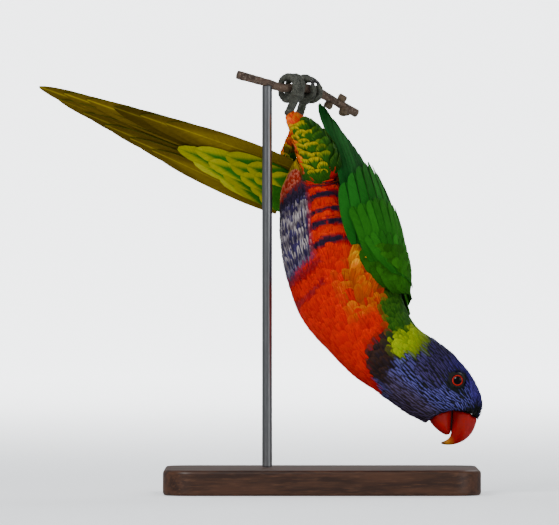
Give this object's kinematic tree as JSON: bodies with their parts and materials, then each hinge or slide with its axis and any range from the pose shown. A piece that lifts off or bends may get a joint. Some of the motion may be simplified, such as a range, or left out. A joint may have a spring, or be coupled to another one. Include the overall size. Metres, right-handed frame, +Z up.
{
  "type": "rainbow lorikeet museum model",
  "caption": "Life-size still model of a rainbow lorikeet hanging head down by both feet from a short cut branch, held by one rod on a flat display base.",
  "frame": {"origin": "centre of the stand base's underside", "axes": "+Z up; +X towards the bird's lowered head, with its tail towards -X; the bird's right side and part of its belly face -Y, where the picture was taken from"},
  "size_m": [0.2109, 0.1098, 0.201],
  "materials": {
    "head_feathers": "fine streaked violet-blue feathers, satin",
    "body_feathers": "overlapping red, orange, blue and green body feathers, satin",
    "wing_feathers": "green vanes with darker shafts and edges, satin",
    "tail_feathers": "olive-yellow underside, green above, satin",
    "bill": "smooth orange-red horn",
    "eye": "wet red iris with a black pupil",
    "foot": "dark grey scaled skin",
    "bark": "weathered grey-brown bark",
    "stand_wood": "dark satin varnish",
    "stand_steel": "satin"
  },
  "bodies": {
    "root": {"head": "head_feathers", "neck": "head_feathers", "torso": "body_feathers", "rump": "body_feathers", "eye_right": "eye", "eye_left": "eye", "upper_bill": "bill", "lower_bill": "bill", "wing_right": "wing_feathers", "wing_left": "wing_feathers", "tail": "tail_feathers", "thigh_right": "body_feathers", "thigh_left": "body_feathers", "foot_right": "foot", "foot_left": "foot", "perch": "bark", "stand_base": "stand_wood", "stand_rod": "stand_steel"}
  },
  "joints": []
}
